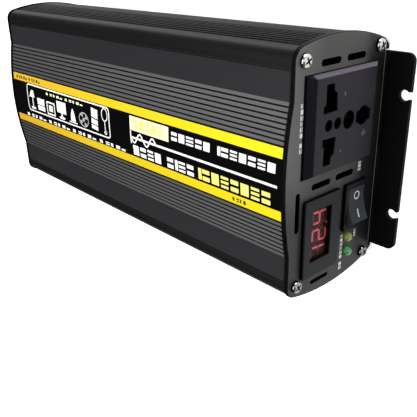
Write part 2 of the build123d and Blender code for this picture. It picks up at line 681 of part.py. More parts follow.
def earth_nut():
    nut = along_y(Pos(*EARTH) * RegularPolygon(4.0, 6), Y_FACE, Y_FACE + 3.2)
    return nut - rod(*EARTH, EARTH_RADIUS + 0.02, Y_FACE - 1, Y_FACE + 4)


save("rear_panel", rear_panel())
save("rear_panel_screws", *[rear(s) for s in end_screws()])
save("fan_frame", fan_frame())
save("fan_rotor", fan_rotor())
save("fan_stator", fan_stator())
save("fan_guard", fan_guard())
save("fan_screws", *[fan_screw(x, z) for x, z in fan_corners()])
for colour, stud_x in (("red", -STUD_X), ("black", STUD_X)):
    save(f"{colour}_terminal_base", terminal_base(stud_x))
    save(f"{colour}_terminal_stud", terminal_stud(stud_x))
    save(f"{colour}_terminal_washer", terminal_washer(stud_x))
    save(f"{colour}_terminal_knob", terminal_knob(stud_x))
save("earth_stud", earth_stud())
save("earth_nut", earth_nut())

# ---------------------------------------------------------------- circuit board and what it carries
BOARD_HALF = 49.0
BOARD_FRONT, BOARD_REAR = -84.0, 92.0
SINK_X = 45.4  # inner face of each heat sink
SINK = 3.0
SINK_ENDS = (-58.0, 84.0)
SINK_TOP = 46.0
SINK_FOOT = 8.0
TRANSISTOR_Y = [-42.0 + 21.0 * i for i in range(6)]
TRANSFORMER_Y = [-28.0, 4.0, 36.0]
CORE = (33.0, 13.0, 29.0)
CORE_Z = BOARD_TOP + 17.0  # middle of a transformer
INPUT_X = (-33.0, -18.5, 18.5, 33.0)  # capacitors across the battery
INPUT_Y = (58.0, 72.0)
BUS_X = -15.0  # capacitors across the high-voltage side
BUS_Y = (-73.0, -51.5)
FUSE_Y = (60.0, 69.0, 78.0)
CHOKE = (22.0, -60.0)
CHOKE_TURNS = 16
BUZZER = (3.0, -76.0)
CONTROL_X = -33.0  # the upright control card
WIRE_RADIUS = 1.3


def heat_sink(s):
    """An aluminium bar on two feet that carries heat from the transistors to the air and the wall."""
    bar = block(SINK_X, SINK_X + SINK, *SINK_ENDS, BOARD_TOP + 3, SINK_TOP)
    for y in (SINK_ENDS[0], SINK_ENDS[1] - SINK_FOOT):
        bar += block(SINK_X, RAIL_INNER - 0.1, y, y + SINK_FOOT, BOARD_TOP + 0.02, BOARD_TOP + 3)
    return bar if s > 0 else mirror(bar, about=Plane.YZ)


def transistor(s, y):
    """A power transistor on three legs, its tab against the heat sink."""
    body = block(SINK_X - 4.5, SINK_X, y - 5, y + 5, 22, 31)
    body += block(SINK_X - 1.3, SINK_X, y - 5, y + 5, 31, 37.5)
    body -= Pos(SINK_X, y, 34.4) * Rot(0, 90, 0) * Cylinder(1.8, 12)
    for dy in (-2.54, 0, 2.54):
        body += block(SINK_X - 2.9, SINK_X - 2.3, y + dy - 0.4, y + dy + 0.4, BOARD_TOP, 22)
    return body if s > 0 else mirror(body, about=Plane.YZ)


def transformer_core(y):
    core = Pos(0, y, CORE_Z) * Box(*CORE)
    for s in (-1, 1):
        core -= Pos(s * 8.2, y, CORE_Z) * Box(7.2, CORE[1] + 1, CORE[2] - 10)
    return core


def transformer_winding(y):
    height = CORE[2] - 10.6
    outer = RectangleRounded(23.0, 25.0, 4.0)
    ring = Pos(0, y, CORE_Z - height / 2) * extrude(outer, height)
    return ring - Pos(0, y, CORE_Z) * Box(9.4, CORE[1] + 0.2, height + 2)


def capacitor(x, y, radius, height):
    can = upright(x, y, radius, BOARD_TOP, BOARD_TOP + height)
    can = fillet(can.edges().filter_by(GeomType.CIRCLE), 0.7)
    groove = Pos(x, y, BOARD_TOP + 3) * Torus(radius, 0.5)
    vent = Pos(x, y, BOARD_TOP + height) * (Box(radius * 1.3, 0.4, 0.5) + Box(0.4, radius * 1.3, 0.5))
    return can - groove - vent


def choke_core(x, y):
    return upright(x, y, 13, BOARD_TOP + 2, BOARD_TOP + 13) - upright(x, y, 7.2, BOARD_TOP, BOARD_TOP + 15)


def choke_turn(x, y, turn):
    """One turn of enamelled wire round the core's section."""
    wire = 0.6
    path = FilletPolyline((6.4, 0, 1.2), (13.8, 0, 1.2), (13.8, 0, 13.8), (6.4, 0, 13.8), close=True, radius=1.2)
    start = path @ 0
    profile = Plane(origin=start, z_dir=path % 0) * Circle(wire)
    loop = sweep(profile, path=path)
    return Pos(x, y, BOARD_TOP) * Rot(0, 0, turn) * loop


def blade_fuse(x, y):
    body = block(x - 9.5, x + 9.5, y - 2.5, y + 2.5, BOARD_TOP + 9, BOARD_TOP + 17)
    for dx in (-6.5, 6.5):
        body += block(x + dx - 2.5, x + dx + 2.5, y - 0.4, y + 0.4, BOARD_TOP + 2, BOARD_TOP + 9)
    return body


def fuse_holder(x, y):
    holder = block(x - 10.5, x + 10.5, y - 3.5, y + 3.5, BOARD_TOP, BOARD_TOP + 8.9)
    for dx in (-6.5, 6.5):
        holder -= block(x + dx - 2.7, x + dx + 2.7, y - 0.5, y + 0.5, BOARD_TOP + 1.5, BOARD_TOP + 10)
    return holder


def control_chips():
    chips = []
    for y, z in ((-66.0, 24.0), (-66.0, 34.0), (-55.0, 29.0)):
        chips.append(block(CONTROL_X + BOARD, CONTROL_X + BOARD + 1.6, y - 4.5, y + 4.5, z - 3, z + 3))
    return chips


def bus_strap(s):
    """A copper strap from a stud's inner end down to the board."""
    x = s * STUD_X
    eye = Pos(x, STUD_Z) * Rectangle(11, 13) - disc(x, STUD_Z, STUD_RADIUS + 0.02)
    leg = Pos(x, (STUD_Z + BOARD_TOP) / 2) * Rectangle(11, STUD_Z - BOARD_TOP)
    strap = along_y((leg - disc(x, STUD_Z, STUD_RADIUS + 0.02)) + eye, Y_CASE - 7.2, Y_CASE - 5.6)
    strap += block(x - 5.5, x + 5.5, BOARD_REAR - 12, Y_CASE - 5.6, BOARD_TOP + 0.02, BOARD_TOP + 1.6)
    return strap


def output_wire(tail, board_x):
    """An insulated wire from a contact's tail down to the board's front edge."""
    x, z = SOCKET[0] + tail[0], SOCKET[1] + tail[1]
    y = -Y_FACE + SOCKET_DEPTH + TAIL_LENGTH
    path = FilletPolyline((x, y, z), (x, y + 6.5, z), (board_x, y + 6.5, BOARD_TOP + 0.5), radius=4.0)
    profile = Plane(origin=path @ 0, z_dir=path % 0) * Circle(WIRE_RADIUS)
    return sweep(profile, path=path)


main_board = block(-BOARD_HALF, BOARD_HALF, BOARD_FRONT, BOARD_REAR, BOARD_BOTTOM, BOARD_TOP)
save("main_board", main_board)
save("heat_sink_left", heat_sink(-1))
save("heat_sink_right", heat_sink(1))
save("transistors_left", *[transistor(-1, y) for y in TRANSISTOR_Y])
save("transistors_right", *[transistor(1, y) for y in TRANSISTOR_Y])
save("transformer_cores", *[transformer_core(y) for y in TRANSFORMER_Y])
save("transformer_windings", *[transformer_winding(y) for y in TRANSFORMER_Y])
save("input_capacitors", *[capacitor(x, y, 6.3, 26) for x in INPUT_X for y in INPUT_Y])
save("bus_capacitors", *[capacitor(BUS_X, y, 10.5, 36) for y in BUS_Y])
save("output_choke_core", choke_core(*CHOKE))
save("output_choke_winding", *[choke_turn(*CHOKE, i * 360 / CHOKE_TURNS) for i in range(CHOKE_TURNS)])
save("blade_fuses", *[blade_fuse(0.0, y) for y in FUSE_Y])
save("fuse_holders", *[fuse_holder(0.0, y) for y in FUSE_Y])
save("control_board", block(CONTROL_X, CONTROL_X + BOARD, -78, -44, BOARD_TOP, 44))
save("control_chips", *control_chips())
buzzer = upright(*BUZZER, 6.0, BOARD_TOP, BOARD_TOP + 9)
save("alarm_buzzer", buzzer - upright(*BUZZER, 1.0, BOARD_TOP + 6, BOARD_TOP + 10))
save("battery_bus_straps", bus_strap(-1), bus_strap(1))
save("output_wires", output_wire(CONTACT_TAILS["neutral"], 12.0), output_wire(CONTACT_TAILS["live"], 33.0),
     output_wire(CONTACT_TAILS["earth"], 22.0))

print(len(written), "nodes written")
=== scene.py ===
import math

import bmesh
import bpy
from mathutils import Matrix, Vector
from mathutils.bvhtree import BVHTree


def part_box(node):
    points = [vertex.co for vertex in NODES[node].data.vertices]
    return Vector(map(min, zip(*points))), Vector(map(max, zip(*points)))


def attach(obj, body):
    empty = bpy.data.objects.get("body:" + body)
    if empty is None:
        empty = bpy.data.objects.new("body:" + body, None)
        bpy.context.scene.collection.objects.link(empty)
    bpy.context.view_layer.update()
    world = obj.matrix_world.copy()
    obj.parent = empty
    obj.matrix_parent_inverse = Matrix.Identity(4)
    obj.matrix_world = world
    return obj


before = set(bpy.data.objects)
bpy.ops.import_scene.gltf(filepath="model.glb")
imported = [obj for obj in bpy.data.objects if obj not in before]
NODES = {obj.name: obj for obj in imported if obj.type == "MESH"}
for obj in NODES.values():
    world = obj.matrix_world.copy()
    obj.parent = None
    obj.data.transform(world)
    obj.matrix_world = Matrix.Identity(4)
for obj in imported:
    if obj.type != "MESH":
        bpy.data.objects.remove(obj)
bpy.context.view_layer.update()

# A power inverter in a black extruded case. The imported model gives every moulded, bent and turned part.
# This script gives every surface its material and adds what is printed or moulded on the label, the panels,
# the socket, the rocker, the meter and the fan. Places are in metres in the row's frame, from the packed
# model's boxes or written as a number times MM. Print is drawn in millimetres.
MM = 0.001
X, Y, Z = Vector((1, 0, 0)), Vector((0, 1, 0)), Vector((0, 0, 1))

# ---------------------------------------------------------------- places on the case
PANEL = 1.8 * MM  # thickness of the end panels' sheet
LABEL_FILM = 0.3 * MM  # thickness of the label
FRONT_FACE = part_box("case_shell")[0].y - PANEL  # outer face of the front panel
REAR_FACE = -FRONT_FACE
label_low, label_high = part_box("top_label")
LABEL_HALF = label_high.x
LABEL_RISE = label_high.z - label_low.z - LABEL_FILM
CROWN_RADIUS = (LABEL_HALF**2 + LABEL_RISE**2) / (2 * LABEL_RISE)  # of the crowned top and its label
CROWN_CENTRE = label_high.z - CROWN_RADIUS
RIB_EDGE = 32.2 * MM  # half width of the crown, where its outermost ribs end
SHOULDER = 59.4 * MM  # height of the flat shoulders beside the crown
CORNER_LINE = 43.8 * MM  # a fine groove where each shoulder meets its rounded corner


# ---------------------------------------------------------------- node helpers
INPUTS = {"specular": "Specular IOR Level", "roughness": "Roughness", "metallic": "Metallic", "ior": "IOR",
          "transmission": "Transmission Weight"}


class Shader:
    """A node material with a principled surface, built a step at a time."""

    def __init__(self, name, **values):
        self.material = bpy.data.materials.new(name)
        self.material.use_nodes = True
        self.tree = self.material.node_tree
        self.surface = self.tree.nodes["Principled BSDF"]
        self.place = self.new("ShaderNodeTexCoord").outputs["Object"]
        for key, value in values.items():
            self.set(INPUTS[key], value)

    def new(self, kind, **settings):
        node = self.tree.nodes.new(kind)
        for key, value in settings.items():
            setattr(node, key, value)
        return node

    def set(self, socket, value):
        target = self.surface.inputs[socket]
        if isinstance(value, bpy.types.NodeSocket):
            self.tree.links.new(value, target)
        elif target.type == "RGBA" and len(value) == 3:
            target.default_value = (*value, 1)
        else:
            target.default_value = value
        return self

    def feed(self, node, index, value):
        if isinstance(value, bpy.types.NodeSocket):
            self.tree.links.new(value, node.inputs[index])
        else:
            node.inputs[index].default_value = value

    def maths(self, operation, a, b=0.0, c=0.0):
        node = self.new("ShaderNodeMath", operation=operation)
        for index, value in enumerate((a, b, c)):
            self.feed(node, index, value)
        return node.outputs[0]

    def axes(self):
        node = self.new("ShaderNodeSeparateXYZ")
        self.tree.links.new(self.place, node.inputs[0])
        return node.outputs

    def step(self, value, low, high):
        """0 below low, 1 above high, smooth between."""
        node = self.new("ShaderNodeMapRange", interpolation_type="SMOOTHSTEP")
        for index, item in enumerate((value, low, high, 0.0, 1.0)):
            self.feed(node, index, item)
        return node.outputs[0]

    def within(self, value, low, high, soft):
        """1 where a value lies between low and high."""
        above = self.step(value, low - soft, low + soft)
        below = self.step(value, high - soft, high + soft)
        return self.maths("SUBTRACT", above, below)

    def mix(self, factor, a, b):
        node = self.new("ShaderNodeMix", data_type="RGBA")
        self.feed(node, 0, factor)
        for index, value in ((6, a), (7, b)):
            value = (*value, 1) if isinstance(value, tuple) and len(value) == 3 else value
            self.feed(node, index, value)
        return node.outputs[2]

    def noise(self, size, stretch=(1, 1, 1), detail=4.0, seed=0.0):
        """Noise whose features are about this many metres across, stretched along the axes."""
        mapping = self.new("ShaderNodeMapping")
        self.tree.links.new(self.place, mapping.inputs["Vector"])
        mapping.inputs["Location"].default_value = (seed, seed * 1.7, seed * 0.6)
        mapping.inputs["Scale"].default_value = [1 / (size * s) for s in stretch]
        node = self.new("ShaderNodeTexNoise")
        node.inputs["Scale"].default_value = 1.0
        node.inputs["Detail"].default_value = detail
        self.tree.links.new(mapping.outputs[0], node.inputs["Vector"])
        return node.outputs["Fac"]

    def bump(self, height, depth, strength=1.0):
        node = self.new("ShaderNodeBump")
        node.inputs["Strength"].default_value = strength
        node.inputs["Distance"].default_value = depth
        self.tree.links.new(height, node.inputs["Height"])
        self.tree.links.new(node.outputs[0], self.surface.inputs["Normal"])
        return self

    def level(self, factor, low, high):
        """A number that goes from low to high as the factor goes from 0 to 1."""
        return self.maths("MULTIPLY_ADD", factor, high - low, low)

    def vary(self, socket, value, low, high):
        """Sets an input to a range of values that follows a 0 to 1 signal."""
        node = self.new("ShaderNodeMapRange")
        for index, item in enumerate((value, 0.3, 0.7, low, high)):
            self.feed(node, index, item)
        return self.set(socket, node.outputs[0])


def grey(value):
    return (value, value, value)


# ---------------------------------------------------------------- materials
def anodised_case():
    """Black anodised extrusion: charcoal flats and fine die lines, with painted light: rib tops paler as a
    painted highlight, painted shade in the grooves between the ribs, in the fine corner groove and at both
    ends, and corner strips and sides painted darker as shade.
    """
    m = Shader("anodised_case", specular=0.15)
    x, y, z = m.axes()
    across = m.maths("ABSOLUTE", x)
    above = m.maths("SUBTRACT", z, CROWN_CENTRE)
    reach = m.maths("SQRT", m.maths("ADD", m.maths("MULTIPLY", x, x), m.maths("POWER", above, 2.0)))
    # Painted highlight: the rib tops are paler, fading towards the rear, and the groove floors between them
    # are painted near black as shade.
    rib_top = m.step(reach, CROWN_RADIUS - 0.3 * MM, CROWN_RADIUS - 0.1 * MM)
    ribbed = m.within(across, LABEL_HALF, RIB_EDGE, 0.05 * MM)
    ribbed = m.maths("MULTIPLY", ribbed, m.step(z, SHOULDER - 1.2 * MM, SHOULDER - 1.0 * MM))
    # Painted shade: the corner strips and the sides are painted darker, and the sides made less specular, to
    # offset the side light that falls on them.
    side = m.maths("SUBTRACT", 1.0, m.step(z, 53.5 * MM, 58.0 * MM))
    corner = m.step(across, CORNER_LINE, CORNER_LINE + 0.6 * MM)
    corner = m.maths("MULTIPLY", corner, m.step(z, 57 * MM, 58 * MM))
    # Painted shade: the fine corner groove and both ends of the case, next to the panels, are painted near
    # black.
    groove = m.within(across, CORNER_LINE - 0.2 * MM, CORNER_LINE + 0.2 * MM, 0.05 * MM)
    groove = m.maths("MULTIPLY", groove, m.step(z, 58 * MM, 59 * MM))
    painted_end_shadow = m.step(m.maths("ABSOLUTE", y), REAR_FACE - 2.9 * MM, REAR_FACE - 2.5 * MM)
    lines = m.noise(0.5 * MM, (1, 160, 1), 3.0)
    patches = m.noise(22 * MM, (1, 3, 1), 2.0, 3.0)
    colour = m.mix(patches, (0.0135, 0.0138, 0.015), (0.019, 0.0195, 0.021))
    colour = m.mix(corner, colour, m.mix(lines, grey(0.0026), grey(0.0038)))
    colour = m.mix(side, colour, m.mix(lines, grey(0.0007), grey(0.0015)))
    rib = m.mix(m.step(y, FRONT_FACE, REAR_FACE), m.mix(lines, grey(0.072), grey(0.106)), grey(0.055))
    colour = m.mix(ribbed, colour, m.mix(rib_top, grey(0.001), rib))
    m.set("Base Color", m.mix(m.maths("MAXIMUM", groove, painted_end_shadow), colour, grey(0.0015)))
    m.set("Specular IOR Level", m.level(side, 0.15, 0.014))
    m.vary("Roughness", lines, 0.42, 0.56)
    return m.bump(lines, 0.02 * MM, 0.5).material


def powder_coat():
    """Fine black powder coat, olive on the outer face. Painted light: the face is paler towards the top, has
    painted shadow low down and towards the meter's side, and a painted highlight along the bend; edges, slot
    walls and foot are painted deep black as shade.
    """
    m = Shader("powder_coat")
    x, y, z = m.axes()
    depth = m.maths("ABSOLUTE", y)
    # Only the outer face keeps the olive coat; edges, slot walls and the foot are painted deep black as
    # shade.
    face = m.within(depth, REAR_FACE - 0.12 * MM, REAR_FACE + 0.1 * MM, 0.06 * MM)
    face = m.maths("MULTIPLY", face, m.step(z, 3.0 * MM, 3.4 * MM))
    # Painted shadow low on the face, and painted shade towards the meter's side.
    painted_low_shadow = m.maths("SUBTRACT", 1.0, m.step(z, 11 * MM, 19 * MM))
    painted_low_shadow = m.maths("MULTIPLY", painted_low_shadow, m.step(x, -47 * MM, -41 * MM))
    meter_side_shade = m.maths("SUBTRACT", 1.0, m.step(x, -22 * MM, 14 * MM))
    grain = m.noise(0.35 * MM, detail=2.0)
    cloud = m.noise(9 * MM, detail=2.0, seed=5.0)
    # Painted light: the face is painted paler towards the top.
    olive = m.mix(m.step(z, 40 * MM, 58 * MM), (0.036, 0.036, 0.035), (0.074, 0.076, 0.073))
    olive = m.mix(m.maths("MULTIPLY", cloud, 0.35), olive, (0.06, 0.06, 0.055))
    olive = m.mix(m.maths("MULTIPLY", meter_side_shade, 0.92), olive, (0.009, 0.010, 0.0105))
    olive = m.mix(m.maths("MULTIPLY", painted_low_shadow, 0.9), olive, (0.003, 0.004, 0.0045))
    # Painted highlight: a pale line along the bend.
    bend = m.within(z, 2.5 * MM, 2.72 * MM, 0.06 * MM)
    bend = m.maths("MULTIPLY", bend, m.within(depth, REAR_FACE - 0.2 * MM, REAR_FACE + 0.6 * MM, 0.1 * MM))
    colour = m.mix(face, grey(0.0018), olive)
    m.set("Base Color", m.mix(bend, colour, (0.16, 0.155, 0.12)))
    m.set("Specular IOR Level", m.level(face, 0.03, 0.15))
    m.vary("Roughness", grain, 0.38, 0.55)
    return m.bump(grain, 0.015 * MM, 0.6).material


def screw_nickel():
    """Plated steel with painted shade in the driver's recess, painted shadow round the seat of each head, and
    screws painted darker towards -x as shade.
    """
    m = Shader("screw_nickel", metallic=1.0)
    x, y, z = m.axes()
    depth = m.maths("ABSOLUTE", y)
    # Painted shade: below the head's crest, in the driver's recess and round the seat, the plate is painted
    # near black.
    crest = m.step(depth, REAR_FACE + 0.6 * MM, REAR_FACE + 1.1 * MM)
    tarnish = m.noise(1.2 * MM, detail=3.0, seed=4.0)
    plate = m.mix(tarnish, (0.26, 0.25, 0.24), (0.56, 0.55, 0.52))
    # Painted shade: screws towards -x are painted darker.
    plate = m.mix(m.maths("MULTIPLY", m.step(x, 30 * MM, -30 * MM), 0.7), plate, (0.11, 0.11, 0.11))
    m.set("Base Color", m.mix(crest, grey(0.01), plate))
    m.vary("Roughness", tarnish, 0.2, 0.34)
    return m.bump(tarnish, 0.01 * MM, 0.5).material


def shades(colour, *factors):
    """The colour times each factor."""
    return [tuple(c * factor for c in colour) for factor in factors]


def raised_plastic(name, colour, crest, wall, specular, flat=None):
    """Moulded plastic with painted shade inside a raised bezel.

    The bezel's sides are painted black as shade from wall below its crest. flat, where given, holds the
    corners of the bezel's flat face. Below that face everything is painted black as shade, as in the
    apertures, the slope to its right is painted paler as a painted highlight, and the slope above it is
    painted darker as shade.
    """
    m = Shader(name)
    x, y, z = m.axes()
    grain = m.noise(0.3 * MM, detail=3.0)
    cloud = m.noise(12 * MM, detail=2.0, seed=2.0)
    # Painted shade: the bezel's sides are painted near black.
    below = m.step(y, crest + wall, crest + wall + 0.3 * MM)
    # The last two colours are a painted highlight for the right slope and a painted shade for the upper
    # slope.
    dark, pale, right_slope_highlight, upper_slope_shade = shades(colour, 0.9, 1.1, 4.4, 0.3)
    tint = m.mix(cloud, dark, pale)
    if flat:
        low, high = flat
        # Painted shade: the apertures below the flat face are painted near black.
        aperture = m.step(y, crest + 0.3 * MM, crest + 0.7 * MM)
        aperture = m.maths("MULTIPLY", aperture, m.within(x, low.x, high.x, 0.1 * MM))
        aperture = m.maths("MULTIPLY", aperture, m.within(z, low.z, high.z, 0.1 * MM))
        below = m.maths("MAXIMUM", below, aperture)
        tint = m.mix(m.step(x, high.x + 0.1 * MM, high.x + 0.3 * MM), tint, right_slope_highlight)
        tint = m.mix(m.step(z, high.z + 0.1 * MM, high.z + 0.4 * MM), tint, upper_slope_shade)
    m.set("Base Color", m.mix(below, tint, grey(0.0008)))
    m.set("Specular IOR Level", m.level(below, specular, 0.02))
    m.vary("Roughness", grain, 0.36, 0.5)
    return m.bump(grain, 0.01 * MM, 0.5).material


def plastic(name, colour, rough=0.45, grain_size=0.3 * MM, depth=0.01 * MM, spread=0.25, specular=0.35):
    """Moulded plastic with a spark-eroded grain."""
    m = Shader(name, specular=specular)
    grain = m.noise(grain_size, detail=3.0)
    cloud = m.noise(12 * MM, detail=2.0, seed=2.0)
    dark, pale = shades(colour, 1 - spread, 1 + spread)
    m.set("Base Color", m.mix(cloud, dark, pale))
    m.vary("Roughness", grain, rough - 0.06, rough + 0.08)
    return m.bump(grain, depth, 0.5).material


def metal(name, colour, rough, scratch=(1, 1, 1)):
    """Bare or plated metal with faint tarnish and fine scratches, stretched along the axes by scratch."""
    m = Shader(name, metallic=1.0)
    lines = m.noise(0.4 * MM, scratch, 4.0)
    tarnish = m.noise(6 * MM, detail=3.0, seed=4.0)
    dark = shades(colour, 0.88)[0]
    m.set("Base Color", m.mix(tarnish, dark, colour))
    m.vary("Roughness", lines, rough, rough + 0.15)
    return m.bump(lines, 0.004 * MM, 0.5).material


def smoked_lens():
    """A thin dark red window that lets the lit digits through."""
    m = Shader("smoked_lens", roughness=0.12, specular=0.1)
    film = m.noise(5 * MM, detail=2.0)
    m.set("Base Color", m.mix(film, (0.014, 0.003, 0.003), (0.022, 0.005, 0.005)))
    m.set("Alpha", 0.05)
    m.vary("Roughness", film, 0.08, 0.16)
    m.material.surface_render_method = "BLENDED"
    return m.material


def glowing(name, colour, strength, pale):
    """A lit plastic whose colour and brightness vary a little over its area."""
    m = Shader(name, roughness=0.3, specular=0.4)
    cloud = m.noise(1.2 * MM, detail=2.0)
    tint = m.mix(cloud, colour, pale)
    m.set("Base Color", tint)
    m.set("Emission Color", tint)
    m.vary("Emission Strength", cloud, strength * 0.8, strength * 1.2)
    return m.material


def lamp_plastic(name, colour, deep, glow):
    """Tinted translucent resin, paler in the middle where the chip's cup shows through."""
    m = Shader(name, roughness=0.14, transmission=0.25, ior=1.5, specular=0.5)
    cloud = m.noise(1.1 * MM, detail=2.0)
    rim = m.new("ShaderNodeLayerWeight")
    rim.inputs["Blend"].default_value = 0.35
    tint = m.mix(rim.outputs["Facing"], colour, deep)
    tint = m.mix(m.maths("MULTIPLY", cloud, 0.4), tint, deep)
    m.set("Base Color", tint)
    m.set("Emission Color", tint)
    m.set("Emission Strength", glow)
    return m.material


def circuit_board():
    """Green solder mask with traces and tinned pads under it."""
    m = Shader("circuit_board", specular=0.5)
    x, y, z = m.axes()
    cells = m.new("ShaderNodeTexVoronoi", distance="CHEBYCHEV", feature="DISTANCE_TO_EDGE")
    m.tree.links.new(m.place, cells.inputs["Vector"])
    cells.inputs["Scale"].default_value = 210
    trace = m.step(cells.outputs["Distance"], 0.05, 0.09)
    pads = m.new("ShaderNodeTexVoronoi")
    m.tree.links.new(m.place, pads.inputs["Vector"])
    pads.inputs["Scale"].default_value = 320
    pad = m.maths("SUBTRACT", 1.0, m.step(pads.outputs["Distance"], 0.16, 0.2))
    mask = m.mix(trace, (0.03, 0.16, 0.06), (0.012, 0.085, 0.03))
    m.set("Base Color", m.mix(pad, mask, (0.62, 0.62, 0.58)))
    m.set("Metallic", pad)
    m.vary("Roughness", m.noise(2 * MM), 0.25, 0.4)
    return m.bump(trace, 0.03 * MM, 0.4).material


def wound(name, colour, dark, pitch, axis):
    """Turns of wire or tape side by side along an axis, painted darker between the turns as shade."""
    m = Shader(name, specular=0.5)
    along = m.axes()[axis]
    ridge = m.maths("SINE", m.maths("MULTIPLY", along, 2 * math.pi / pitch))
    ridge = m.maths("MULTIPLY_ADD", ridge, 0.5, 0.5)
    # Painted shade: the troughs between turns get the darker colour.
    m.set("Base Color", m.mix(ridge, dark, colour))
    m.vary("Roughness", m.noise(1.5 * MM), 0.3, 0.45)
    return m.bump(ridge, pitch * 0.2, 0.8).material


def sleeve():
    """A capacitor's dark blue sleeve with pale polarity stripes."""
    m = Shader("capacitor_sleeve", specular=0.45)
    x, y, z = m.axes()
    stripe = m.within(m.maths("MODULO", m.maths("ADD", y, 1.0), 14 * MM), 5 * MM, 8 * MM, 0.1 * MM)
    colour = m.mix(stripe, (0.01, 0.015, 0.05), (0.45, 0.46, 0.48))
    m.set("Base Color", m.mix(m.noise(3 * MM), colour, (0.012, 0.02, 0.06)))
    m.vary("Roughness", m.noise(0.8 * MM), 0.25, 0.4)
    return m.material


def print_ink(name, near, far=None):
    """Screen-printed ink. The far colour, where given, is reached at the rear of the case."""
    m = Shader(name, specular=0.2)
    y = m.axes()[1]
    cloud = m.noise(1.6 * MM, detail=3.0)
    base = near
    if far:
        spread = m.maths("MULTIPLY_ADD", y, 1 / (REAR_FACE - FRONT_FACE), 0.5)
        base = m.mix(spread, near, far)
    m.set("Base Color", m.mix(m.maths("MULTIPLY", cloud, 0.12), base, shades(near, 0.8)[0]))
    m.vary("Roughness", cloud, 0.4, 0.55)
    return m.material


def label_film():
    """The label's black ground, smoother than the case."""
    m = Shader("label_film", specular=0.02)
    cloud = m.noise(8 * MM, (1, 4, 1), 2.0)
    m.set("Base Color", m.mix(cloud, grey(0.0015), grey(0.003)))
    m.vary("Roughness", m.noise(0.6 * MM), 0.26, 0.34)
    return m.material


def floor_paper():
    """White paper on a light table."""
    m = Shader("floor_paper", roughness=0.9, specular=0.1)
    paper = m.mix(m.noise(0.4), grey(0.93), grey(0.95))
    m.set("Base Color", paper)
    m.set("Emission Color", paper)
    m.set("Emission Strength", 0.55)
    return m.material


socket_low, socket_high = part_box("socket_face")
SOCKET_RIM = Vector((1.7 * MM, 0, 4.4 * MM))  # from the foot of the socket's bevel to its flat face
socket_flat = (socket_low + SOCKET_RIM, socket_high - SOCKET_RIM)
bezel_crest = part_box("meter_bezel")[0].y
switch_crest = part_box("switch_frame")[0].y

BOARD_GREEN = circuit_board()
NICKEL = metal("nickel_plate", (0.46, 0.45, 0.42), 0.24)
BRASS = metal("brass", (0.72, 0.56, 0.27), 0.22)
COPPER = metal("copper", (0.75, 0.36, 0.2), 0.28, (1, 1, 20))
ALUMINIUM = metal("mill_aluminium", (0.66, 0.67, 0.69), 0.32, (1, 60, 1))
EPOXY = plastic("epoxy_black", (0.018, 0.018, 0.019), rough=0.55, grain_size=0.2 * MM)
RED_PLASTIC = plastic("red_plastic", (0.48, 0.018, 0.012), rough=0.32, spread=0.12, specular=0.5)
KNOB_BLACK = plastic("knob_black", (0.02, 0.02, 0.021), rough=0.36, spread=0.2, specular=0.45)
WHITE_INK = print_ink("white_ink", (0.90, 0.90, 0.88))
CREAM_INK = print_ink("cream_ink", (0.95, 0.93, 0.55))
STRIPE_INK = print_ink("stripe_ink", (0.77, 0.645, 0.004), (0.60, 0.335, 0.02))
PANEL_INK = print_ink("panel_ink", (0.50, 0.50, 0.48))
YELLOW_INK = print_ink("yellow_ink", (0.92, 0.85, 0.18))
DARK_INK = print_ink("dark_ink", (0.06, 0.035, 0.01))
GREY_INK = print_ink("grey_ink", (0.42, 0.42, 0.42))
# Painted highlight: the socket's moulded marks are painted paler than the socket plastic.
MOULDED_MARK = print_ink("moulded_mark", (0.085, 0.082, 0.09))
UNLIT_INK = print_ink("unlit_segment", (0.05, 0.012, 0.012))

MATERIALS = {
    "case_shell": anodised_case(),
    "top_label": label_film(),
    "socket_face": raised_plastic("socket_plastic", (0.0145, 0.0130, 0.0165), socket_low.y, 2.2 * MM, 0.05,
                                  socket_flat),
    "socket_body": plastic("socket_inside", (0.006, 0.006, 0.006), rough=0.6),
    "meter_bezel": raised_plastic("bezel_plastic", (0.0070, 0.0075, 0.009), bezel_crest, 0.25 * MM, 0.06),
    "meter_lens": smoked_lens(),
    "meter_digits": plastic("digit_face", (0.034, 0.015, 0.015), rough=0.5, grain_size=2 * MM,
                            depth=0.002 * MM, specular=0.05),
    "meter_lit_segments": glowing("lit_segment", (0.22, 0.020, 0.023), 1.15, (0.27, 0.034, 0.037)),
    "switch_frame": raised_plastic("switch_plastic", (0.0045, 0.0048, 0.0056), switch_crest, 0.25 * MM, 0.05),
    "switch_rocker": plastic("rocker_plastic", (0.025, 0.026, 0.029), rough=0.42, depth=0.002 * MM,
                             specular=0.02),
    "fault_lamp": lamp_plastic("yellow_resin", (0.23, 0.26, 0.055), (0.08, 0.085, 0.012), 0.1),
    "power_lamp": lamp_plastic("green_resin", (0.05, 0.22, 0.06), (0.010, 0.09, 0.02), 0.22),
    "fan_frame": plastic("fan_frame_plastic", (0.016, 0.016, 0.017), rough=0.5),
    "fan_rotor": plastic("fan_rotor_plastic", (0.022, 0.022, 0.024), rough=0.42),
    "fan_stator": wound("fan_coil", (0.62, 0.24, 0.09), (0.28, 0.09, 0.03), 0.5 * MM, 1),
    "transformer_cores": plastic("ferrite", (0.05, 0.05, 0.053), rough=0.6, grain_size=0.5 * MM),
    "transformer_windings": wound("winding_tape", (0.72, 0.55, 0.08), (0.48, 0.34, 0.04), 4.2 * MM, 2),
    "input_capacitors": sleeve(),
    "bus_capacitors": sleeve(),
    "output_choke_core": plastic("iron_powder", (0.55, 0.42, 0.05), rough=0.6),
    "output_choke_winding": metal("enamelled_wire", (0.62, 0.22, 0.08), 0.2),
    "blade_fuses": plastic("fuse_plastic", (0.7, 0.1, 0.03), rough=0.25, spread=0.1, specular=0.5),
    "battery_bus_straps": COPPER,
    "output_wires": plastic("wire_insulation", (0.3, 0.02, 0.015), rough=0.4, grain_size=1 * MM),
}
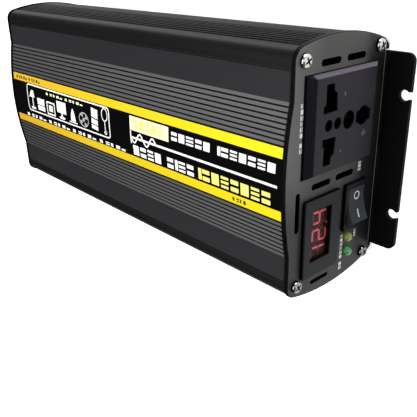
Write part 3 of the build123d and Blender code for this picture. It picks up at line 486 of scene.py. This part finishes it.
brass_parts = ("socket_contact_live", "socket_contact_neutral", "socket_contact_earth", "switch_terminals",
               "earth_stud", "earth_nut", "red_terminal_stud", "black_terminal_stud", "red_terminal_washer",
               "black_terminal_washer")
epoxy_parts = ("transistors_left", "transistors_right", "control_chips", "alarm_buzzer", "fuse_holders")
for names, finish in (
    (("front_panel", "rear_panel"), powder_coat()),
    (("front_panel_screws", "rear_panel_screws"), screw_nickel()),
    (("red_terminal_base", "red_terminal_knob"), RED_PLASTIC),
    (("black_terminal_base", "black_terminal_knob"), KNOB_BLACK),
    (("fan_guard", "fan_screws"), NICKEL),
    (brass_parts, BRASS),
    (("meter_board", "lamp_board", "main_board", "control_board"), BOARD_GREEN),
    (("heat_sink_left", "heat_sink_right"), ALUMINIUM),
    (epoxy_parts, EPOXY),
):
    for name in names:
        MATERIALS[name] = finish
for name, node in NODES.items():
    node.data.materials.clear()
    node.data.materials.append(MATERIALS[name])


# ---------------------------------------------------------------- thin printed pieces
SINK = 0.02 * MM  # how far a printed piece reaches into the surface under it


class Face:
    """A CAD face that print is laid on. Print is drawn along u and v, and down points into the face."""

    def __init__(self, node, origin, u, v, down):
        mesh = NODES[node].data
        self.tree = BVHTree.FromPolygons([p.co for p in mesh.vertices], [p.vertices for p in mesh.polygons])
        self.origin, self.u, self.v, self.down = origin, u, v, down

    def drop(self, point):
        """The place on the face under a drawn point, a little way into the surface."""
        start = self.origin + self.u * (point.x * MM) + self.v * (point.y * MM) - self.down * 0.1
        return self.tree.ray_cast(start, self.down)[0] + self.down * SINK


def print_piece(name, face, shapes, material, body="root", slot="label_film", height=0.05 * MM, cell=1.5,
                across=False):
    """Lays flat outlines on a face as one thin solid that follows its curve.

    The outlines are cut every cell millimetres along u, or along v if across, so that the solid can bend.
    """
    mesh = bmesh.new()
    for shape in shapes:
        for loop in shape:
            mesh.faces.new([mesh.verts.new((u, v, 0)) for u, v in loop])
    bmesh.ops.remove_doubles(mesh, verts=mesh.verts[:], dist=1e-4)
    bmesh.ops.triangulate(mesh, faces=[f for f in mesh.faces if len(f.verts) > 4])
    axis = Y if across else X
    reach = [v.co.dot(axis) for v in mesh.verts]
    cut = math.ceil(min(reach) / cell) * cell
    while cut < max(reach):
        bmesh.ops.bisect_plane(mesh, geom=mesh.verts[:] + mesh.edges[:] + mesh.faces[:], plane_co=axis * cut,
                               plane_no=axis, dist=1e-5)
        cut += cell
    for vert in mesh.verts:
        vert.co = face.drop(vert.co.copy())
    raised = bmesh.ops.extrude_face_region(mesh, geom=mesh.faces[:], use_keep_orig=True)["geom"]
    raised = [item for item in raised if isinstance(item, bmesh.types.BMVert)]
    bmesh.ops.translate(mesh, verts=raised, vec=-face.down * (height + SINK))
    bmesh.ops.recalc_face_normals(mesh, faces=mesh.faces[:])
    data = bpy.data.meshes.new(name)
    mesh.to_mesh(data)
    mesh.free()
    piece = bpy.data.objects.new(name, data)
    bpy.context.scene.collection.objects.link(piece)
    data.materials.append(material)
    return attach(piece, body)


# A loop is a list of (u, v) points in millimetres, and a shape is a list of loops that don't overlap.
def placed(shapes, u, v, right=1):
    """All the loops of the shapes, moved to a place. With right -1, the shapes' right is towards lower u."""
    return [[(u + right * a, v + b) for a, b in loop] for shape in shapes for loop in shape]


def rect(u_low, v_low, u_high, v_high, slant=0.0):
    """A rectangle. With a slant, its high-u edge is shifted along v."""
    return [[(u_low, v_low), (u_high, v_low + slant), (u_high, v_high + slant), (u_low, v_high)]]


def oval(u, v, wide, high, count=24):
    """An oval with these half sizes."""
    turns = [2 * math.pi * i / count for i in range(count)]
    return [[(u + wide * math.cos(t), v + high * math.sin(t)) for t in turns]]


def arc_points(u, v, radius, start, end, count):
    """Points along an arc between two angles in degrees, both included."""
    turns = [math.radians(start + (end - start) * i / count) for i in range(count + 1)]
    return [(u + radius * math.cos(t), v + radius * math.sin(t)) for t in turns]


def band(outer, inner, closed=True):
    """Quads between two lines of points that run side by side."""
    pairs = range(len(outer) if closed else len(outer) - 1)
    return [[outer[i], outer[(i + 1) % len(outer)], inner[(i + 1) % len(inner)], inner[i]] for i in pairs]


def oval_ring(u, v, wide, high, width, count=28):
    return band(oval(u, v, wide, high, count)[0], oval(u, v, wide - width, high - width, count)[0])


def rounded(u_low, v_low, u_high, v_high, radius, count=5):
    """The points of a rectangle with rounded corners."""
    points = []
    for u, v, start in ((u_high - radius, v_high - radius, 0), (u_low + radius, v_high - radius, 90),
                        (u_low + radius, v_low + radius, 180), (u_high - radius, v_low + radius, 270)):
        points += arc_points(u, v, radius, start, start + 90, count)
    return points


def frame_line(u_low, v_low, u_high, v_high, radius, width):
    """An outline of a rounded rectangle."""
    return band(rounded(u_low, v_low, u_high, v_high, radius),
                rounded(u_low + width, v_low + width, u_high - width, v_high - width, radius - width))


def stroke(points, width):
    """A line of even width through the points."""
    left, right = [], []
    for i, point in enumerate(points):
        before = Vector(points[max(i - 1, 0)])
        after = Vector(points[min(i + 1, len(points) - 1)])
        along = (after - before).normalized()
        side = Vector((-along.y, along.x)) * width / 2
        left.append(tuple(Vector(point) + side))
        right.append(tuple(Vector(point) - side))
    return band(left, right, closed=False)


# ---------------------------------------------------------------- print on the label
# On the label, u is the distance from the front panel's outer face towards the rear, and v is the row's x.
# The label reads from the rear to the front, so u falls from left to right.
label_face = Face("top_label", Vector((0, FRONT_FACE, 0.1)), Y, X, -Z)


def label_print(name, shapes, material, height=0.05 * MM):
    return print_piece(name, label_face, shapes, material, height=height, cell=3.0, across=True)


STRIPE_LOW, STRIPE_HIGH = 10.95, 15.25
LABEL_END = 2.6  # the stripes run from here to LABEL_START
LABEL_START = (REAR_FACE - FRONT_FACE) / MM - 3.0
for side, name in ((1, "stripe_right"), (-1, "stripe_left")):
    low, high = sorted((side * STRIPE_LOW, side * STRIPE_HIGH))
    label_print(name, [rect(LABEL_END, low, LABEL_START, high)], STRIPE_INK, 0.03 * MM)


def row(start, end, low, high, cells, gap=0.22):
    """A row that stands for words. A cell is a share of the length and its bars, as shares of the height."""
    shapes = []
    total = sum(width for width, bars in cells)
    place = start
    for width, bars in cells:
        reach = (end - start) * width / total
        for below, above in bars:
            span = high - low
            shapes.append(rect(place, low + below * span, place + reach * (1 - gap), low + above * span))
        place += reach
    return shapes


FULL = [(0, 1)]
SPLIT = [(0, 0.38), (0.62, 1)]
THREE = [(0, 0.22), (0.39, 0.61), (0.78, 1)]
LOW_BAR = [(0, 0.55)]
BLANK = []
upper_words = [(1, SPLIT), (1, FULL), (1.2, THREE), (1, SPLIT), (1, FULL), (0.7, BLANK), (0.45, FULL),
               (1, SPLIT), (1, THREE), (1, FULL), (1, SPLIT), (1, THREE), (1, FULL)]
lower_words = [(1, FULL), (1, SPLIT), (1, THREE), (1, FULL), (0.6, BLANK), (1, SPLIT), (0.45, FULL),
               (1, THREE), (1, SPLIT)]
last_word = [(0.45, FULL), (1, SPLIT), (1, FULL), (1, THREE), (1, SPLIT), (1, FULL), (1, THREE), (1, SPLIT)]
label_print("word_bars_upper", row(69.8, 4.6, 4.3, 8.3, upper_words), WHITE_INK)
label_print("word_bars_lower", row(101.0, 53.4, -9.9, -4.8, lower_words), WHITE_INK)
label_print("word_bars_yellow", row(51.4, 6.8, -9.8, -4.5, last_word), YELLOW_INK)

FINE_GAP = 0.3
fine_words = [(0.8, FULL), (0.4, BLANK), (1, SPLIT), (0.6, FULL), (0.4, BLANK), (1, FULL), (1, LOW_BAR),
              (0.5, BLANK)]
label_print("spec_bars", row(216.8, 104.6, -10.3, -8.5, fine_words * 4, FINE_GAP), WHITE_INK)
label_print("caption_bars", row(188.4, 144.0, 6.9, 8.2, fine_words * 2, FINE_GAP), CREAM_INK)
label_print("stripe_bars_rear", row(226.0, 193.0, 12.3, 13.9, fine_words * 2, FINE_GAP), DARK_INK, 0.07 * MM)
label_print("stripe_bars_front", row(30.0, 21.5, -14.1, -12.3, fine_words[:6], FINE_GAP), DARK_INK, 0.07 * MM)

label_print("rating_block", [rect(71.9, 2.8, 102.7, 9.9)], CREAM_INK, 0.03 * MM)
rating_cells = [(1, SPLIT), (1, FULL), (1, SPLIT), (1, FULL), (1, THREE)]
label_print("rating_bars", row(99.5, 75.0, 4.1, 8.6, rating_cells, FINE_GAP), YELLOW_INK)

WAVE_MID, WAVE_REACH, WAVE_START, WAVE_LENGTH = -0.95, 2.5, 102.3, 10.2
WAVE_CYCLES = 2
WAVE_POINTS = 48
wave = []
for i in range(WAVE_POINTS + 1):
    share = i / WAVE_POINTS
    swing = math.sin(2 * math.pi * WAVE_CYCLES * share)
    wave.append((WAVE_START - WAVE_CYCLES * WAVE_LENGTH * share, WAVE_MID - WAVE_REACH * swing))
label_print("sine_wave", [stroke(wave, 0.85)], WHITE_INK)
label_print("sine_axis", [rect(4.6, WAVE_MID - 0.55, 101.9, WAVE_MID + 0.55)], WHITE_INK, 0.03 * MM)
label_print("sine_upright", [rect(101.9, -4.2, 102.7, 2.4)], WHITE_INK, 0.04 * MM)

label_print("icon_frame", [frame_line(121.0, -6.4, 213.0, 10.5, 2.6, 0.75)], WHITE_INK)


def fan_blade(turn):
    """A fan icon's blade: an arc of 42 degrees from this angle, with its foot near the hub."""
    middle = math.radians(turn + 21)
    return [arc_points(0, 0, 3.9, turn, turn + 42, 4) + [(1.5 * math.cos(middle), 1.5 * math.sin(middle))]]


# Each icon is a list of shapes, drawn to the right and up from its place on the label.
icons = {
    "lamp": (206.8, 0.0, [[[(-3.6, 2.6), (3.0, 2.6), (1.6, 6.9), (-0.8, 6.9)]], rect(-0.1, -3.2, 0.8, 2.4),
                          rect(-2.2, -4.6, 3.0, -3.3)]),
    "fridge": (196.0, 0.0, [rect(-4.3, -4.1, 4.3, -1.2), rect(-4.3, -0.6, 4.3, 3.3)]),
    "washer": (184.0, 0.0, [band(rect(-4.8, -4.8, 4.8, 3.1)[0], rect(-3.9, -3.9, 3.9, 2.2)[0]),
                            rect(-2.2, -2.7, 2.2, 1.0)]),
    "screen": (171.2, 0.0, [rect(-5.2, -1.3, 5.2, 5.4), rect(-0.8, -3.2, 0.8, -1.45),
                            oval(0, -4.1, 3.4, 0.8)]),
    "bottle": (158.6, 0.0, [[[(-2.6, -3.7), (2.6, -3.7), (1.9, 0.6), (-1.9, 0.6)]],
                            [[(-1.9, 0.75), (1.9, 0.75), (0, 3.8)]], rect(-4.3, -4.7, 4.3, -4.1)]),
    "fan": (147.0, -0.6, [oval_ring(0, 0, 5.0, 4.2, 0.6), oval(0, 0, 1.2, 1.1)]
            + [fan_blade(turn) for turn in (10, 100, 190, 280)]),
    "tower": (135.4, 0.0, [[[(-3.2, 3.0), (2.9, 2.2), (3.1, 7.2), (-3.0, 7.9)]],
                           [[(-3.4, -0.6), (2.7, -1.4), (2.9, 1.4), (-3.2, 2.2)]],
                           [[(-3.6, -3.6), (2.5, -4.2), (2.7, -2.0), (-3.4, -1.2)]]]),
    "bulb": (125.6, 0.0, [oval_ring(0, 6.0, 3.0, 3.6, 0.55), rect(-0.3, -2.6, 0.3, 2.2),
                          oval_ring(0, -3.8, 1.3, 1.0, 0.5)]),
}
for name, (u, v, shapes) in icons.items():
    label_print("icon_" + name, [placed(shapes, u, v, -1)], GREY_INK if name == "fan" else WHITE_INK)


# ---------------------------------------------------------------- print on the two ends
def front_print(name, node, shapes, material, **settings):
    """Print on a node that faces the front, drawn in the row's x and z."""
    print_piece(name, Face(node, Vector((0, FRONT_FACE, 0)), X, Z, Y), shapes, material, **settings)


def rear_print(name, node, shapes, material, **settings):
    """Print on a node that faces the rear, drawn in the row's -x and z."""
    print_piece(name, Face(node, Vector((0, REAR_FACE, 0)), -X, Z, -Y), shapes, material, **settings)


def middle(node):
    """The middle of a node's box, in millimetres."""
    low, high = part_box(node)
    return (low + high) / 2 / MM


panel_words = [(1, SPLIT), (1, FULL), (0.7, BLANK), (1, FULL), (1, SPLIT), (0.9, THREE), (1, SPLIT),
               (1, FULL), (0.9, THREE)]
for name, start, end, low, high, cells in (
    ("outlet_bars", 11.9, 31.8, 54.0, 55.9, panel_words),
    ("lamp_bars", -50.6, -32.7, 23.1, 24.7, panel_words),
    ("power_bars", -37.2, -33.3, 13.6, 15.0, panel_words[-3:]),
    ("switch_bars", -5.2, -0.6, 13.8, 15.6, panel_words[-3:]),
):
    front_print(name, "front_panel", row(start, end, low, high, cells), PANEL_INK, slot="black_paint",
                height=0.03 * MM)

rocker_z = middle("switch_rocker").z
for name, shape in (
    ("rocker_off_mark", oval_ring(-15.3, rocker_z, 1.95, 1.95, 0.5)),
    ("rocker_on_mark", rect(-25.2, rocker_z - 0.3, -21.6, rocker_z + 0.3)),
):
    front_print(name, "switch_rocker", [shape], GREY_INK, body="rocker", slot="switch_plastic",
                height=0.03 * MM, cell=0.6)

earth_symbol = [rect(-1.5, 0.0, 1.5, 0.3), rect(-1.0, -0.75, 1.0, -0.45), rect(-0.5, -1.5, 0.5, -1.2),
                rect(-0.15, 0.3, 0.15, 1.6)]
socket = middle("socket_face")
for name, u, v, shapes in (
    ("socket_earth_mark", socket.x - 7.6, socket.z - 12.6, earth_symbol),
    ("socket_live_mark", socket.x + 11.0, socket.z + 1.6, [rect(-0.9, -0.25, 0.9, 0.25, 0.5)]),
    ("socket_neutral_mark", socket.x - 12.0, socket.z + 2.3, [rect(-0.7, -0.2, 0.7, 0.2, 0.4)]),
):
    front_print(name, "socket_face", [placed(shapes, u, v)], MOULDED_MARK, slot="black_plastic",
                height=0.08 * MM)

MARK_DROP = 15  # from a terminal's middle down to its polarity mark
minus = [rect(-3, -0.5, 3, 0.5)]
plus = minus + [rect(-0.5, 0.5, 0.5, 3), rect(-0.5, -3, 0.5, -0.5)]
for name, node, shapes in (
    ("plus_mark", "red_terminal_base", plus),
    ("minus_mark", "black_terminal_base", minus),
):
    spot = middle(node)
    rear_print(name, "rear_panel", [placed(shapes, -spot.x, spot.z - MARK_DROP)], WHITE_INK,
               slot="black_paint", height=0.03 * MM)

# The meter's digits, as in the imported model, which has the lit segments
DIGIT_WIDTH, DIGIT_HEIGHT = 5.0, 9.6
DIGIT_PITCH = 8.2
SEGMENT, SEGMENT_GAP = 0.9, 0.14  # thickness of a segment, and half of the gap between two
LEAN = 0.07  # digits lean to the right by this slope
MIDDLE_DIGIT = (-1.65, -1.75)  # from the module's middle to the middle digit's, x and z
LIT = ("bc", "abged", "fgbc")


def unlit_segments():
    """The seven-segment shapes that aren't lit in each digit."""
    right, top = DIGIT_WIDTH / 2, DIGIT_HEIGHT / 2
    places = {"a": (0, top, True), "b": (right, top / 2, False), "c": (right, -top / 2, False),
              "d": (0, -top, True), "e": (-right, -top / 2, False), "f": (-right, top / 2, False),
              "g": (0, 0, True)}
    module = middle("meter_digits")
    shapes = []
    for number, lit in enumerate(LIT):
        for letter in sorted(set(places) - set(lit)):
            x, z, flat = places[letter]
            z *= 1 - SEGMENT / DIGIT_HEIGHT
            length = DIGIT_WIDTH if flat else (DIGIT_HEIGHT - SEGMENT) / 2
            half = (length - SEGMENT) / 2 - SEGMENT_GAP
            tip, side = half + SEGMENT / 2, SEGMENT / 2
            bar = [(half, side), (tip, 0), (half, -side), (-half, -side), (-tip, 0), (-half, side)]
            if not flat:
                bar = [(b + LEAN * a, a) for a, b in bar]
            u = module.x + MIDDLE_DIGIT[0] + (number - 1) * DIGIT_PITCH + x + LEAN * z
            shapes.append(placed([[bar]], u, module.z + MIDDLE_DIGIT[1] + z))
    return shapes


front_print("unlit_segments", "meter_digits", unlit_segments(), UNLIT_INK, slot="digit_module",
            height=0.02 * MM)

hub = middle("fan_rotor")
rear_print("fan_hub_label", "fan_rotor", [oval(-hub.x, hub.z, 7.6, 7.6, 32)], GREY_INK, body="fan",
           slot="black_plastic", height=0.05 * MM)

# ---------------------------------------------------------------- smooth shading, floor, light and camera
CREASE = math.radians(28)  # edges sharper than this stay sharp
for node in NODES.values():
    node.data.shade_smooth()
    node.data.set_sharp_from_angle(angle=CREASE)

FLOOR_HALF = 6.0
corners = [(x * FLOOR_HALF, y * FLOOR_HALF, 0) for x, y in ((-1, -1), (1, -1), (1, 1), (-1, 1))]
floor_mesh = bpy.data.meshes.new("floor")
floor_mesh.from_pydata(corners, [], [(0, 1, 2, 3)])
floor = bpy.data.objects.new("floor", floor_mesh)
floor.location.z = -0.2 * MM  # just clear of the feet
bpy.context.scene.collection.objects.link(floor)
floor_mesh.materials.append(floor_paper())


CASE_MIDDLE = Vector((0, 0, 0.03))


def softbox(name, place, side, power):
    """A square area light that points at the middle of the case."""
    light = bpy.data.lights.new(name, "AREA")
    light.shape = "RECTANGLE"
    light.size = light.size_y = side
    light.energy = power
    lamp = bpy.data.objects.new(name, light)
    lamp.location = place
    lamp.rotation_euler = (CASE_MIDDLE - Vector(place)).to_track_quat("-Z", "Y").to_euler()
    bpy.context.scene.collection.objects.link(lamp)


softbox("side_light", (1.2, -0.15, 0.03), 0.5, 38)
softbox("top_light", (0.0, 0.0, 1.45), 1.2, 30)
softbox("front_light", (0.3, -1.4, 0.35), 1.0, 7)


def studio_world():
    """Lights the object dimly, and looks as pale as the far floor where the floor ends."""
    world = bpy.data.worlds.new("studio")
    world.use_nodes = True
    nodes = world.node_tree.nodes
    dim, pale = nodes["Background"], nodes.new("ShaderNodeBackground")
    for background, colour, strength in ((dim, (0.9, 0.92, 0.95, 1), 0.06), (pale, (1, 1, 1, 1), 0.57)):
        background.inputs["Color"].default_value = colour
        background.inputs["Strength"].default_value = strength
    seen = nodes.new("ShaderNodeLightPath").outputs["Is Camera Ray"]
    either = nodes.new("ShaderNodeMixShader")
    for index, output in enumerate((seen, dim.outputs[0], pale.outputs[0])):
        world.node_tree.links.new(output, either.inputs[index])
    world.node_tree.links.new(either.outputs[0], nodes["World Output"].inputs["Surface"])
    return world


bpy.context.scene.world = studio_world()
bpy.context.scene.view_settings.view_transform = "Standard"

# The camera is solved from the photo's perspective. The picture's up is close to +X, because the inverter
# stands on its side there.
CAMERA_PLACE = Vector((0.08522, -0.25561, 0.22598))
CAMERA_AIM = Vector((-0.40073, 0.68562, -0.60774))
PICTURE_UP = Vector((0.91595, 0.28431, -0.28321))
forward = CAMERA_AIM.normalized()
right = forward.cross(PICTURE_UP).normalized()
up = right.cross(forward)
camera_data = bpy.data.cameras.new("camera")
camera_data.lens = 51.59
camera_data.sensor_width = 36
camera_data.clip_start = 0.01
camera = bpy.data.objects.new("camera", camera_data)
turn = Matrix((right, up, -forward)).transposed()
camera.matrix_world = Matrix.Translation(CAMERA_PLACE) @ turn.to_4x4()
bpy.context.scene.collection.objects.link(camera)
bpy.context.scene.camera = camera
